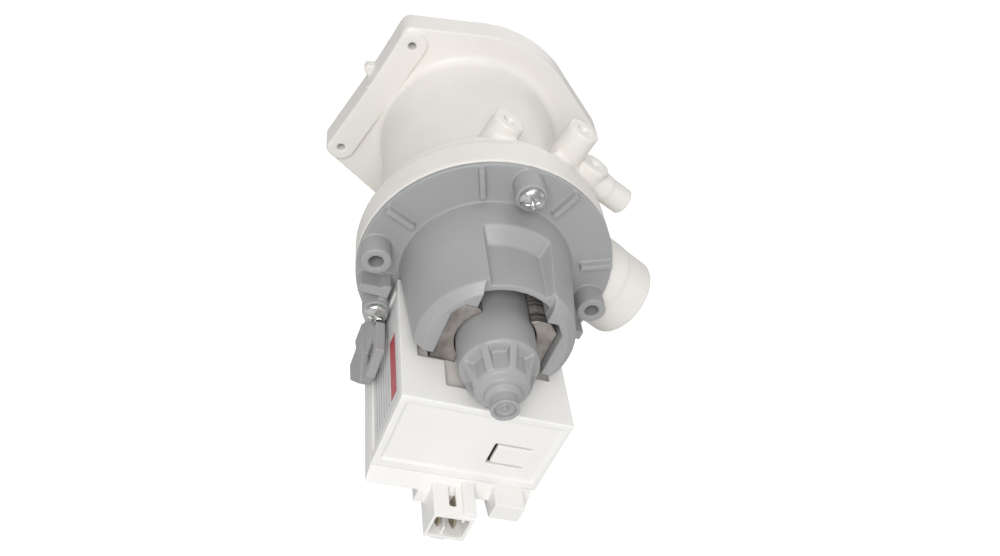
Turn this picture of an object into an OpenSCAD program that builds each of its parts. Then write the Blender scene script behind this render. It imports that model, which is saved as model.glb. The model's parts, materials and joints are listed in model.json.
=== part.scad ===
// Drain pump of a washing machine: lint filter chamber and volute in front,
// canned-rotor synchronous motor behind, coil box hanging under the motor.
// Everything is drawn with the pump axis along Z, front plate at Z = 0 and the
// coil box towards -Y, and is then laid down so that the axis runs along Y.

/* [Front plate] */
// Depth of the tray-shaped front plate
plate_depth = 11; // [9:0.5:13]
// Radius of the round part of the front plate
plate_r = 43.6; // [42.5:0.1:46]
// Rounding radius of the three corners
corner_r = 4; // [3.6:0.1:5]
// Reach of the upper left corner from the axis
corner_a = 51.2; // [50:0.1:53]
// Reach of the lower left corner from the axis
corner_b = 53.9; // [52:0.1:56]
// Reach of the right corner from the axis
corner_c = 51.7; // [50:0.1:54]
// Thickness of the skirt round the tray
skirt_wall = 2.4; // [2:0.1:3]
// Thickness of the back wall of the tray
tray_wall = 2.4; // [2:0.1:3]
// Height of the raised bar that carries the two ears
ear_bar_h = 1.6; // [1:0.1:2]
// Rounding radius of the ears
ear_r = 5.3; // [4.6:0.1:5.6]
// Radius of the two ear holes
ear_hole_r = 1.5; // [1.2:0.05:1.8]
// Distance between the two ear holes
ear_pitch = 50.3; // [48:0.1:52]

/* [Filter chamber] */
// Inner radius of the filter chamber
chamber_r = 30; // [29:0.1:31]
// Wall of the filter chamber
chamber_wall = 2.7; // [2.2:0.1:3.2]
// Length of the filter chamber behind the front plate
chamber_len = 50.6; // [48:0.2:56]
// Radius and length of the flare that joins chamber and plate
flare = 3.6; // [2:0.1:5]
// Front rim of the mouth collar, measured from the front plate's face
collar_front = 4; // [3.8:0.1:5]
// Wall of the mouth collar
collar_wall = 3; // [2:0.1:4]

/* [Volute] */
// Wall between filter chamber and volute
throat_wall = 2.4; // [2:0.1:3]
// Radius of the suction eye
eye_r = 12; // [10:0.1:14]
// Depth of the volute
volute_depth = 22.5; // [22:0.1:24]
// Radius of the stepped shoulder in front of the ring
shoulder_r = 39.5; // [38:0.1:41]
// Length of the shoulder
shoulder_len = 6.5; // [5.5:0.1:7.5]
// Radius of the white ring that the motor is screwed to
ring_r = 42; // [41.9:0.1:44]
// Length of the ring
ring_len = 11; // [9:0.1:12]
// Radius of the counterbore that takes the motor's spigot
counterbore_r = 33; // [32.4:0.1:33.2]
// Length of the motor's spigot
spigot_len = 3; // [2.8:0.1:4]

/* [Ports] */
// Outer radius of the outlet pipe
outlet_r = 14.6; // [14:0.1:15]
// Inner radius of the outlet's mouth
outlet_bore_r = 12; // [11:0.1:12.4]
// Inner radius of the outlet where it leaves the volute
outlet_throat_r = 9; // [8:0.1:9.5]
// Offset of the outlet's axis from the pump axis
outlet_offset = 12.9; // [12:0.1:14]
// Reach of the outlet's end along its own axis
outlet_reach = 57; // [55:0.5:64]
// Direction of the outlet round the pump axis
outlet_angle = -22.3; // [-26:0.1:-18]
// Distance of the outlet's axis in front of the motor seam
outlet_back = 14.7; // [14:0.1:15.4]
// Outer radius of the inlet pipe
inlet_r = 21; // [20.5:0.1:22]
// Inner radius of the inlet pipe
inlet_bore_r = 18.5; // [17.5:0.1:18.6]
// Reach of the inlet's end from the pump axis
inlet_reach = 56; // [52:0.5:64]
// Direction of the inlet round the pump axis
inlet_angle = -75; // [-85:1:-65]
// Distance of the inlet's axis behind the plate's front face
inlet_back = 38; // [37:0.5:38]
// Length of the hose seat at the end of the outlet and of the inlet
hose_seat = 12; // [10:0.5:12]
// Step in radius behind the hose seats
port_step = 0.3; // [0.2:0.1:0.6]
// Outer radius of the three stub bosses
stub_r = 5.5; // [5:0.1:6]
// Radius of the blind holes in the stub bosses
stub_hole_r = 1.8; // [1.4:0.1:2.2]
// Depth of the blind holes in the stub bosses
stub_hole_depth = 2; // [1.5:0.5:2.5]
// Outer radius of the vent pipe beside the last stub
vent_r = 4.7; // [4.4:0.1:5.2]
// Inner radius of the vent pipe
vent_bore_r = 2.6; // [2:0.1:3]
// Distance of stubs and vent in front of the motor seam
stub_back = 22; // [21.2:0.1:22.4]

/* [Lint filter] */
// Outer radius of the cap's flange
cap_r = 34.5; // [33.6:0.1:36]
// Front of the cap, measured from the front plate's face
cap_front = 1.2; // [0.8:0.1:1.4]
// Thickness of the cap's flange
cap_flange_t = 2.5; // [2:0.1:2.6]
// Length of the cap's plug from the cap's front
cap_len = 12.8; // [12:0.1:14]
// Radial clearance of cap and basket rails in the chamber
filter_clear = 0.4; // [0.3:0.05:0.6]
// Width of the grip bar across the cap
grip_w = 9; // [7:0.5:12]
// Outer radius of the basket
basket_r = 27; // [25:0.1:28]
// Wall of the basket
basket_wall = 2; // [1.6:0.1:2.6]
// Length of the basket behind the cap
basket_len = 43.7; // [40:0.1:45]
// Number of slots round the basket
basket_slots = 8; // [6:1:10]
// Width of each slot
basket_slot_w = 6; // [4:0.5:8]
// Radius of the pivot between cap and basket
pivot_r = 4; // [3:0.1:5]
// Section radius of the cap's sealing ring
filter_seal_r = 1; // [0.9:0.05:1.2]

/* [Impeller] */
// Outer radius of the impeller
impeller_r = 22.5; // [18:0.1:26]
// Number of blades
blade_count = 6; // [4:1:8]
// Thickness of the blades
blade_t = 2.2; // [1.6:0.1:3]
// Length of the blades along the axis
blade_h = 12.5; // [9:0.1:13]
// Thickness of the impeller's back disc
impeller_disc_t = 2; // [1.6:0.1:3]
// Gap between impeller disc and the front of the motor
impeller_gap = 5.5; // [4:0.1:6]
// Outer radius of the hub
hub_r = 9.2; // [8.8:0.1:10]
// Inner radius of the hub, where the dog turns
hub_bore_r = 7.4; // [7:0.1:7.8]
// Half width of the dog's lug and of the hub's stop, in degrees
lug_half = 22; // [18:1:26]
// Width of each rubber pad beside the lug, in degrees
pad_width = 10; // [6:1:14]

/* [Rotor] */
// Radius of the shaft
shaft_r = 2; // [1.5:0.05:2.5]
// Radial running clearance of the shaft in its bushes
running_gap = 0.04; // [0.02:0.01:0.08]
// Outer radius of the magnet
magnet_r = 9.5; // [9:0.1:9.8]
// Inner radius of the magnet
magnet_bore_r = 5; // [4:0.1:6]
// Length of the magnet
magnet_len = 24; // [20:0.5:26]
// Start of the magnet behind the motor seam
magnet_start = 12; // [11:0.5:13]
// Thickness of the plastic end rings on the magnet
end_ring_t = 1.5; // [1:0.1:2]

/* [Motor casing] */
// Radius of the motor's flange
flange_r = 42; // [41:0.1:43]
// Thickness of the flange
flange_t = 2.2; // [1.8:0.1:3]
// Height of the flange's ribs above the motor seam
flange_rib_h = 5; // [4:0.1:7]
// Radius of the circle on which the screws sit
bolt_circle_r = 37; // [36.8:0.1:37.2]
// Outer radius of the open bosses at three and nine o'clock
boss_r = 4.8; // [4.4:0.1:4.9]
// Height of the open bosses above the motor seam
boss_h = 10; // [8:0.1:12]
// Radius of the open bosses' holes
boss_hole_r = 2.35; // [2:0.05:2.6]
// Outer radius of the screw bosses
screw_boss_r = 4.3; // [4:0.1:4.4]
// Height of the screw bosses above the motor seam
screw_boss_h = 10.5; // [9.5:0.1:11]
// Outer radius of the yoke cover at the flange
cover_r = 28.5; // [27.5:0.1:29]
// Outer radius of the yoke cover at the shoulder of its two claws
cover_rear_r = 24.6; // [24.4:0.1:25.4]
// Rear end of the yoke cover behind the motor seam
cover_end = 37.5; // [37:0.1:40]
// Lower edge of the yoke cover below the axis
cover_drop = 7; // [6:0.1:8.6]
// Half width of the groove on top of the cover
groove_half = 11; // [9:0.1:12]
// Radius of the groove's floor
groove_r = 22; // [21.5:0.1:24]
// Wall of the cover and of the groove's floor
cover_wall = 2; // [1.6:0.1:2.4]
// Outer radius of the rotor can
can_r = 12.1; // [11.9:0.05:12.2]
// Inner radius of the rotor can
can_bore_r = 10.3; // [10.2:0.05:10.5]
// End of the can's straight part behind the motor seam
can_end = 46.5; // [46:0.1:48]
// Number of ribs on the can's tail
tail_ribs = 8; // [6:1:10]
// Thickness of the tail ribs
tail_rib_t = 2.3; // [1.2:0.1:2.4]
// Radius of the tail's core between the ribs
tail_core_r = 8.4; // [8:0.1:9]
// Length of the tail behind the can's straight part
tail_len = 9.3; // [8.6:0.1:11]
// Radius of the neck on the tail
neck_r = 4; // [3.6:0.1:4.6]
// Length of the neck
neck_len = 7.1; // [5:0.1:8]
// Thickness of the two latch plates
latch_t = 3; // [2:0.1:3.4]
// Gap between latch plates and coil box
latch_gap = 1; // [0.5:0.1:1.2]

/* [Screws] */
// Radius of the screw heads
head_r = 4; // [3.6:0.05:4.2]
// Height of the screw heads
head_h = 2.7; // [2.2:0.1:3.2]
// Radius of the screw shanks
shank_r = 1.9; // [1.7:0.05:2]
// Length of the screw shanks
shank_len = 18; // [15:0.5:18]

/* [Bearings] */
// Radius of the recess for the front bearing holder
holder_r = 13.4; // [13:0.1:14]
// Depth of the front bearing holder
holder_len = 10.9; // [10.6:0.1:11]
// Outer radius of the front bush
front_bush_r = 5.2; // [4.6:0.1:5.6]
// Outer radius of the shaft seal
shaft_seal_r = 6; // [5.6:0.1:6.6]
// Section radius of the holder's sealing ring
holder_seal_r = 0.9; // [0.8:0.05:1]
// Section radius of the casing's sealing ring
casing_seal_r = 0.9; // [0.8:0.05:1]
// Outer radius of the rear bush
rear_bush_r = 5; // [4.6:0.1:5.2]
// Length of the rear bush
rear_bush_len = 5.4; // [5:0.1:5.6]
// Wall of the rubber cup round the rear bush
cup_wall = 1.5; // [1.2:0.1:1.6]

/* [Stator] */
// Thickness of the lamination stack
stack_len = 22; // [20:0.5:23]
// Start of the stack behind the motor seam
stack_start = 12.5; // [12:0.1:13]
// Width of each leg
leg_w = 8; // [7:0.1:8]
// Radial gap between rotor can and poles
pole_gap = 0.4; // [0.3:0.05:0.6]
// Height of the poles' shoulders above the axis
pole_top = 11; // [10:0.1:12]
// Depth of the yoke's lower edge below the axis
yoke_drop = 45.5; // [44.6:0.1:45.5]
// Height of the yoke
yoke_h = 8; // [6:0.1:8.4]
// Half of the gap between the two windings
coil_mid = 2.5; // [2.3:0.1:3]
// Gap between windings and coil box
coil_clear = 1.5; // [1.3:0.1:2]
// Wall of the coil formers
former_wall = 0.8; // [0.6:0.1:0.9]
// Thickness of the formers' cheeks
cheek_t = 1; // [0.8:0.1:1.2]

/* [Coil box] */
// Half width of the coil box
box_half = 27; // [27:0.1:28]
// Depth of the box's top below the axis
box_top = 9.3; // [9:0.1:9.4]
// Depth of the joint between cover and base below the axis
box_split = 40.7; // [40:0.1:42]
// Depth of the base's underside below the axis
box_bottom = 46.6; // [46.6:0.1:48]
// Rear of the box behind the motor seam
box_rear = 55; // [54:0.1:57]
// Wall of the box
box_wall = 1.6; // [1.4:0.1:1.6]
// Depth of the recesses in the box's faces
recess = 0.7; // [0.4:0.1:0.8]
// How far the base's lower edge stands behind the cover
base_proud = 2; // [1:0.1:3]
// Width of the slits round the tongue in the rear wall
slit_w = 0.8; // [0.5:0.1:1]
// Thickness of the bare rating label
label_t = 0.2; // [0.1:0.05:0.3]

/* [Connector] */
// Width of the connector shroud
plug_w = 13; // [12.5:0.1:14]
// Height of the connector shroud
plug_h = 11; // [10:0.1:12]
// Length of the connector shroud
plug_len = 11; // [10:0.1:13]
// Wall of the connector shroud
plug_wall = 1.1; // [0.9:0.1:1.3]
// Pitch of the two blades
blade_pitch = 5; // [5:0.1:5.2]
// Width of the blades
tab_w = 6.3; // [4.8:0.1:6.3]
// Thickness of the blades
tab_t = 0.8; // [0.5:0.1:0.8]

/* [Hidden] */
$fn = 72;
eps = 0.01;
touch = 0.05;

// Places along the axis, from the front plate's front face
chamber_end = plate_depth + chamber_len;
volute_start = chamber_end + throat_wall;
casing_front = volute_start + volute_depth;
seam = casing_front + spigot_len;
outlet_z = seam - outlet_back;
stub_z = seam - stub_back;

chamber_out_r = chamber_r + chamber_wall;
spigot_r = counterbore_r - 0.3;

// Corner directions and ear holes of the front plate
corner_dirs = [134.5, 202.35, 18.3];
corner_reaches = [corner_a, corner_b, corner_c];
ear_mid = [-38.55, 6.85];
ear_dir = [cos(75.4), sin(75.4)];
ear_points = [ear_mid + ear_dir * ear_pitch / 2, ear_mid - ear_dir * ear_pitch / 2];
ear_post_r = ear_hole_r + 1.8;

// Tops of the three stub bosses and end of the vent pipe, across the axis
stub_tops = [[-5.5, 43], [19, 47], [28, 36]];
stub_dir = 80;
stub_lengths = [13.5, 18.5, 15];
vent_end = [43.5, 24.6];
vent_dir = -20;
vent_len = 17.5;
vent_seat = 9;
vent_run = 18.5;
vent_fall = 14;
vent_corner = vent_end - vent_run * [cos(vent_dir), sin(vent_dir)];

// Lint filter
cap_plug_r = chamber_r - filter_clear;
cap_back = cap_front + cap_len;
dish_r = cap_plug_r - 3.2;
seal_z = cap_front + cap_flange_t + 5;
groove_depth = 2 * filter_seal_r - filter_clear + 0.1;
basket_front = cap_back + 0.3;
basket_disc_t = 2.5;
pivot_len = basket_disc_t + 0.6;
basket_end = basket_front + basket_len;

// Casing
head_clear = 0.38;
screw_turn = acos((box_half + head_r + head_clear) / bolt_circle_r);
screw_angles = [90, 180 + screw_turn, 360 - screw_turn];
open_angles = [0, 180];
rib_angles = [22.5, 67.5, 112.5, 157.5];
rib_start = 31;
rib_t = 1.8;
pilot_depth = ring_len - 0.3;
cavity_start = 6;
cavity_clear = 0.3;
rim_gap = 0.6;
cover_bevel = 2.8;
cover_shoulder = cover_end - cover_bevel;
shelf_back = 3;
recess_wall = 2;
pilot_r = shank_r;

// Poles and legs
former_gap = 0.3;
leg_skin = former_gap + former_wall;
coil_build = (box_half - box_wall - coil_clear - 2 * leg_skin - leg_w - coil_mid) / 2;
stack_half = box_half - box_wall - coil_clear - coil_build - leg_skin;
pole_r = can_r + pole_gap;
leg_in = stack_half - leg_w;
stack_end = stack_start + stack_len;
pole_chamfer = 3.5;
head_foot = 9.5;
coil_top = 12.3;
coil_bottom = yoke_drop - yoke_h - 0.3 - cheek_t;
coil_in = leg_in - leg_skin - coil_build;
coil_out = stack_half + leg_skin + coil_build;
coil_front = stack_start - leg_skin - coil_build;
coil_rear = stack_end + leg_skin + coil_build;
box_front = coil_front - 0.2 - box_wall;

// Rotor and bearings, behind the motor seam
magnet_end = magnet_start + magnet_len;
dog_hub_r = shaft_r + 2.2;
dog_r = hub_bore_r - 0.3;
hub_wall = 3;
disc_back = seam - spigot_len - impeller_gap;
disc_front = disc_back - impeller_disc_t;
hub_front = disc_front - blade_h - 0.5;
impeller_cap_t = 1.6;
dog_front = hub_front + hub_wall + 0.4;
dog_back = disc_back - impeller_cap_t - 0.4;
cup_r = rear_bush_r + cup_wall;
cup_bore_end = can_end + 6.5;
cup_start = can_end - 0.6;
holder_end = holder_len - spigot_len;
seal_len = 3.2;

// Box
tray_rim = 2.2;
slot_half = 21.5;
slot_end = cover_end - 0.1;
notch_left = 13.2;
notch_right = 10;
notch_end = can_end + 1;
tongue = [7, 19.6];
tongue_rows = [-23.4, -32];
plug_x = 0;
plug_top = -43;
plug_start = box_rear + base_proud;
tab_x = [-3.4, -3.4 + blade_pitch];
blade_root = box_rear - 8;
tab_mid = plug_top - plug_h / 2;
root_half = 8;

// Colours
white = [0.93, 0.92, 0.90];
box_white = [0.96, 0.96, 0.95];
grey = [0.60, 0.61, 0.62];

// Lays the model down: pump axis along Y, motor towards -Y, coil box down.
module laid() {
    rotate([90, 0, 0]) children();
}

// Moves a piece of the motor to the seam between housing and casing.
module at_seam() {
    translate([0, 0, seam]) children();
}

// Straight ring between two radii.
module ring(r_out, r_in, z0, z1) {
    translate([0, 0, z0]) difference() {
        cylinder(r = r_out, h = z1 - z0);
        translate([0, 0, -1]) cylinder(r = r_in, h = z1 - z0 + 2);
    }
}

// Sealing ring of round section.
module sealing_ring(centre_r, section_r, z) {
    translate([0, 0, z]) rotate_extrude() translate([centre_r, 0]) circle(r = section_r, $fn = 32);
}

// Sector of a ring, half_angle degrees to each side of a direction.
module sector(r_in, r_out, dir, half_angle, z0, z1) {
    reach = r_out * 1.5;
    translate([0, 0, z0]) linear_extrude(z1 - z0) intersection() {
        difference() {
            circle(r = r_out);
            circle(r = r_in);
        }
        polygon([[0, 0],
            [reach * cos(dir - half_angle), reach * sin(dir - half_angle)],
            [reach * cos(dir), reach * sin(dir)],
            [reach * cos(dir + half_angle), reach * sin(dir + half_angle)]]);
    }
}

// Box between two opposite corners.
module block(low, high) {
    translate(low) cube(high - low);
}

// Plate standing across X; its outline is given as height and depth.
module side_plate(x, thickness) {
    translate([x, 0, 0]) rotate([90, 0, 90]) linear_extrude(thickness) children();
}

// Outline of the front plate: a circle with three rounded corners. The straight
// sides start a little inside both circles, so that they cross them clearly.
module plate_outline(inset = 0) {
    big = plate_r - inset;
    small = corner_r - inset;
    low = big - 0.12;
    tip = small - 0.03;
    circle(r = big, $fn = 96);
    for (i = [0:2]) {
        dir = corner_dirs[i];
        d = corner_reaches[i] - corner_r;
        spread = acos((big - small) / d);
        centre = d * [cos(dir), sin(dir)];
        translate(centre) circle(r = small, $fn = 32);
        polygon([[0, 0],
            low * [cos(dir - spread), sin(dir - spread)],
            centre + tip * [cos(dir - spread), sin(dir - spread)],
            centre + tip * [cos(dir + spread), sin(dir + spread)],
            low * [cos(dir + spread), sin(dir + spread)]]);
    }
}

// Raised bar with two round ends round the ear holes, kept inside the plate.
module ear_bar_outline() {
    intersection() {
        plate_outline();
        union() {
            for (p = ear_points) translate(p) circle(r = ear_r, $fn = 32);
            translate(ear_mid) rotate(75.4) square([ear_pitch, 2 * ear_r], center = true);
        }
    }
}

// Pipe across the pump axis, starting at a point and running in a direction.
module cross_pipe(start, dir, z, r, length) {
    translate([start[0], start[1], z]) rotate([0, 90, dir]) cylinder(r = r, h = length);
}

module stub(i, r, length, lift = 0) {
    top = stub_tops[i] + lift * [cos(stub_dir), sin(stub_dir)];
    start = top - length * [cos(stub_dir), sin(stub_dir)];
    cross_pipe(start, stub_dir, stub_z, r, length);
}

// Small web on both sides of the tallest stub's foot.
module stub_web() {
    translate([stub_tops[1][0], stub_tops[1][1], stub_z + 3]) rotate(stub_dir - 90) linear_extrude(1.6)
        polygon([[0, -9], [-stub_r + 0.4, -9.6], [-stub_r - 2.8, -12.6], [-stub_r - 0.8, -stub_lengths[1]],
            [stub_r + 1, -stub_lengths[1]], [stub_r + 1.8, -14.5], [stub_r - 0.4, -11.8]]);
}

module outlet(r, from, to) {
    side = [-sin(outlet_angle), cos(outlet_angle)] * outlet_offset;
    start = side + from * [cos(outlet_angle), sin(outlet_angle)];
    cross_pipe(start, outlet_angle, outlet_z, r, to - from);
}

module vent(r, length, lift = 0) {
    tip = vent_end + lift * [cos(vent_dir), sin(vent_dir)];
    start = tip - length * [cos(vent_dir), sin(vent_dir)];
    cross_pipe(start, vent_dir, stub_z, r, length);
}

module housing_shell() {
    difference() {
        linear_extrude(plate_depth) plate_outline();
        translate([0, 0, -1]) linear_extrude(plate_depth - tray_wall + 1) plate_outline(skirt_wall);
    }
    translate([0, 0, plate_depth - eps]) linear_extrude(ear_bar_h + eps) ear_bar_outline();
    for (p = ear_points) translate([p[0], p[1], 1]) cylinder(r = ear_post_r, h = plate_depth - 1);
    translate([-42.6, 13.2, 0]) cylinder(r = 2, h = 4.5);
    translate([0, 0, collar_front]) cylinder(r = chamber_r + collar_wall, h = plate_depth - collar_front);
    rotate_extrude($fn = 96) difference() {
        translate([0, plate_depth - eps]) square([chamber_out_r + flare, flare + eps]);
        translate([chamber_out_r + flare, plate_depth + flare]) circle(r = flare, $fn = 48);
    }
    translate([0, 0, plate_depth - tray_wall])
        cylinder(r = chamber_out_r, h = casing_front - plate_depth + tray_wall, $fn = 96);
    translate([0, 0, seam - ring_len - shoulder_len]) cylinder(r = shoulder_r, h = shoulder_len + eps, $fn = 96);
    translate([0, 0, seam - ring_len]) cylinder(r = ring_r, h = ring_len, $fn = 96);
    outlet(outlet_r + port_step, 20, outlet_reach - hose_seat);
    outlet(outlet_r, 20, outlet_reach);
    cross_pipe([0, 0], inlet_angle, inlet_back, inlet_r + port_step, inlet_reach - hose_seat);
    cross_pipe([0, 0], inlet_angle, inlet_back, inlet_r, inlet_reach);
    for (i = [0:2]) stub(i, stub_r, stub_lengths[i]);
    stub_web();
    vent(vent_r, vent_len);
    vent(vent_r + port_step, vent_len - vent_seat, -vent_seat);
}

module pump_housing() {
    color(white) laid() difference() {
        housing_shell();
        translate([0, 0, -1]) cylinder(r = chamber_r, h = chamber_end + 1, $fn = 96);
        cylinder(r = eye_r, h = casing_front);
        translate([0, 0, volute_start]) cylinder(r = chamber_r, h = volute_depth + 1, $fn = 96);
        translate([0, 0, casing_front]) cylinder(r = counterbore_r, h = spigot_len + 1, $fn = 96);
        outlet(outlet_bore_r, 41, outlet_reach + 1);
        outlet(outlet_throat_r, 14, outlet_reach);
        cross_pipe([0, 0], inlet_angle, inlet_back, inlet_bore_r - port_step, inlet_reach);
        cross_pipe([cos(inlet_angle), sin(inlet_angle)] * (inlet_reach - hose_seat),
            inlet_angle, inlet_back, inlet_bore_r, hose_seat + 1);
        for (i = [0:2]) stub(i, stub_hole_r, stub_hole_depth + 1, 1);
        // The vent's bore turns down into the volute inside the last stub
        vent(vent_bore_r, vent_run + 1, 1);
        cross_pipe(vent_corner - vent_fall * [cos(vent_dir + 90), sin(vent_dir + 90)], vent_dir + 90, stub_z,
            vent_bore_r, vent_fall);
        translate([0, 0, -1]) for (p = ear_points)
            translate(p) cylinder(r = ear_hole_r, h = plate_depth + ear_bar_h + 2);
        for (a = screw_angles) rotate(a) translate([bolt_circle_r, 0, seam - pilot_depth])
            cylinder(r = pilot_r, h = pilot_depth + 1);
        for (a = open_angles) rotate(a) translate([bolt_circle_r, 0, seam - pilot_depth])
            cylinder(r = boss_hole_r, h = pilot_depth + 1);
    }
}

// Cap of the lint filter: flange, plug with seal groove, and a sunk grip bar.
module filter_cap() {
    color("dimgray") laid() {
        difference() {
            union() {
                translate([0, 0, cap_front]) cylinder(r = cap_r, h = cap_flange_t);
                translate([0, 0, cap_front]) cylinder(r = cap_plug_r, h = cap_len);
            }
            translate([0, 0, cap_front - 1]) cylinder(r = dish_r, h = cap_len - 1.2);
            ring(cap_plug_r + 1, cap_plug_r - groove_depth, seal_z - filter_seal_r - 0.1,
                seal_z + filter_seal_r + 0.1);
        }
        block([-grip_w / 2, -dish_r - 1, cap_front + 0.3], [grip_w / 2, dish_r + 1, cap_back - 1]);
        translate([0, 0, cap_back - eps]) cylinder(r = pivot_r, h = pivot_len + 0.3 + eps);
        translate([0, 0, cap_back + pivot_len + 0.3]) cylinder(r = pivot_r + 1.2, h = 1.6);
    }
}

module filter_seal() {
    color("black") laid()
        sealing_ring(cap_plug_r - groove_depth + filter_seal_r + touch, filter_seal_r, seal_z);
}

// Basket: front disc, slotted wall, open towards the inlet, barred end.
module filter_basket() {
    step = 360 / basket_slots;
    inner = basket_r - basket_wall;
    slot_from = basket_front + basket_disc_t + 3;
    slot_to = basket_end - 4;
    color("gainsboro") laid() difference() {
        union() {
            translate([0, 0, basket_front]) cylinder(r = basket_r, h = basket_disc_t);
            ring(basket_r, inner, basket_front, basket_end);
            translate([0, 0, basket_end - 2]) cylinder(r = basket_r, h = 2);
            for (a = [0, 180]) rotate(a)
                block([inner + 0.5, -1.5, basket_front], [chamber_r - filter_clear, 1.5, basket_end]);
        }
        translate([0, 0, basket_front - 1]) cylinder(r = pivot_r + touch, h = basket_disc_t + 2);
        for (i = [0:basket_slots - 1]) if (cos(step * (i + 0.5) - inlet_angle) < 0.7) rotate(step * (i + 0.5))
            block([inner - 3, -basket_slot_w / 2, slot_from], [basket_r + 1, basket_slot_w / 2, slot_to]);
        rotate(inlet_angle) intersection() {
            block([inner / 2, -inlet_bore_r + 2, slot_from], [basket_r + 1, inlet_bore_r - 2, slot_to]);
            translate([0, 0, slot_from]) cylinder(r = basket_r + 1, h = slot_to - slot_from);
        }
        for (a = [0:60:300]) rotate(a + 30)
            translate([inner * 0.58, 0, basket_end - 3]) cylinder(r = inner * 0.24, h = 4);
    }
}

// Radius of the yoke cover at a distance behind the motor seam.
function cover_at(a) = cover_r - (cover_r - cover_rear_r) * a / cover_shoulder;

// Revolved body of the yoke cover, drawn in towards the rear.
module cover_body() {
    intersection() {
        rotate_extrude($fn = 96) polygon([[0, 0], [cover_r, 0], [cover_rear_r, cover_shoulder],
            [cover_rear_r - cover_bevel, cover_end], [0, cover_end]]);
        block([-cover_r - 1, -cover_drop, -1], [cover_r + 1, cover_r + 1, cover_end + 1]);
    }
}

// Room for the pole heads inside the yoke cover.
module cover_cavity() {
    half = stack_half + cavity_clear;
    top = pole_top + 2.5;
    hollow_end = cover_end - 11;
    translate([0, 0, cavity_start]) linear_extrude(cover_end) {
        polygon([[-half, -cover_drop - 1], [-half, 9.5], [-14.6, top], [14.6, top],
            [half, 9.5], [half, -cover_drop - 1]]);
        intersection() {
            circle(r = groove_r - cover_wall);
            translate([-groove_half + 0.2, 0]) square([2 * groove_half - 0.4, groove_r]);
        }
    }
    // Hollows between the outer skin and the side walls of the cavity
    for (s = [0, 1]) mirror([s, 0, 0]) intersection() {
        rotate_extrude($fn = 96) polygon([[0, cavity_start], [cover_at(cavity_start) - cover_wall, cavity_start],
            [cover_at(hollow_end) - cover_wall, hollow_end], [0, hollow_end]]);
        block([half + cover_wall, -cover_drop - 1, 0], [cover_r, 11, cover_end]);
    }
}

// Groove on top of the cover with a sloping front wall and a short floor.
module cover_groove() {
    slope_end = stack_start + 3.5;
    intersection() {
        rotate_extrude($fn = 96) polygon([[groove_r, slope_end], [cover_r + 0.5, slope_end - 5.4],
            [cover_r + 9, slope_end - 5.4], [cover_r + 9, cover_end + 2], [groove_r, cover_end + 2]]);
        linear_extrude(cover_end + 2) polygon([[-groove_half + 2.6, groove_r - 2.5], [-groove_half, groove_r + 2.2],
            [-groove_half, cover_r + 9], [groove_half, cover_r + 9], [groove_half, groove_r + 2.2],
            [groove_half - 2.6, groove_r - 2.5]]);
    }
    block([-groove_half, 0, cover_end - shelf_back], [groove_half, cover_r + 9, cover_end + 2]);
}

// Tail of the rotor can: ribbed crown, dome and neck.
module can_tail() {
    tail_end = can_end + tail_len;
    neck_end = tail_end + neck_len;
    dome = 1.6;
    rotate_extrude() polygon([[0, can_end - 1], [can_r, can_end - 1], [can_r, can_end],
        [can_r - 0.5, can_end + 0.5], [can_r - 1.6, can_end + 0.9],
        [tail_core_r, can_end + 1.2], [tail_core_r, tail_end - dome],
        [tail_core_r - 0.5, tail_end - dome / 3], [tail_core_r - dome, tail_end],
        [neck_r + 1.6, tail_end + 0.6], [neck_r + 1.4, tail_end + 2.2],
        [neck_r, tail_end + 2.9], [neck_r, neck_end - 0.8],
        [neck_r + 0.3, neck_end - 0.5], [neck_r + 0.3, neck_end], [0, neck_end]]);
    for (i = [0:tail_ribs - 1]) rotate(i * 360 / tail_ribs)
        translate([0, tail_rib_t / 2, 0]) rotate([90, 0, 0]) linear_extrude(tail_rib_t)
            polygon([[0, can_end], [can_r - 0.1, can_end], [can_r - 0.7, can_end + 1.2],
                [tail_core_r + 0.3, tail_end - dome], [0, tail_end - dome]]);
}

// Outline of a latch plate as height and depth beside the coil box.
module latch_outline() {
    difference() {
        polygon([[-20, 0.5], [-19.8, 14], [-20.8, 26.2], [-31.5, 27.8], [-38.5, 24.5], [-47.4, 14.8],
            [-48.2, 7], [-40.8, 6.4], [-42, 1.5], [-33, 0.5]]);
        polygon([[-24.6, 16.2], [-33, 15.8], [-32.6, 21.7], [-29.8, 24.2], [-23.6, 23.4]]);
    }
}

module latch() {
    x = -box_half - latch_gap - latch_t;
    latch_skin = 1.4;
    difference() {
        side_plate(x, latch_t) latch_outline();
        rotate(screw_angles[1]) translate([bolt_circle_r, 0, screw_boss_h])
            cylinder(r = head_r + head_clear, h = head_h + 1);
        // Pocket behind the window
        side_plate(x + latch_skin, latch_t) polygon([[-22.6, 15.2], [-34.3, 14.6], [-34, 22.6], [-30.2, 25.8],
            [-22.2, 24.6]]);
    }
    // Thicker lower edge of the plate, and the nose that grips the box
    side_plate(x - 0.8, 0.8 + eps) polygon([[-33.8, 1], [-34.4, 15], [-35.8, 25.4], [-38.5, 24.5],
        [-47.4, 14.8], [-48.2, 7], [-40.8, 6.4], [-42, 1.5]]);
    side_plate(-box_half - latch_gap - eps, latch_gap - 0.2)
        polygon([[-43, 8], [-48, 8], [-47.3, 13.5], [-43, 13.5]]);
}

// Bracket between the left boss and the latch plate.
module latch_bracket() {
    inner = box_half + 4.6;
    top = screw_boss_h - 1.5;
    upper = -9.4;
    shelf = -14;
    lower = -20.5;
    block([-inner - 7.4, shelf, 0], [-inner + 0.1, upper - 1, top]);
    side_plate(-inner, 2.6) polygon([[upper, 0], [upper, top], [shelf, top], [lower, top - 3], [lower, 0]]);
}

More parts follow.
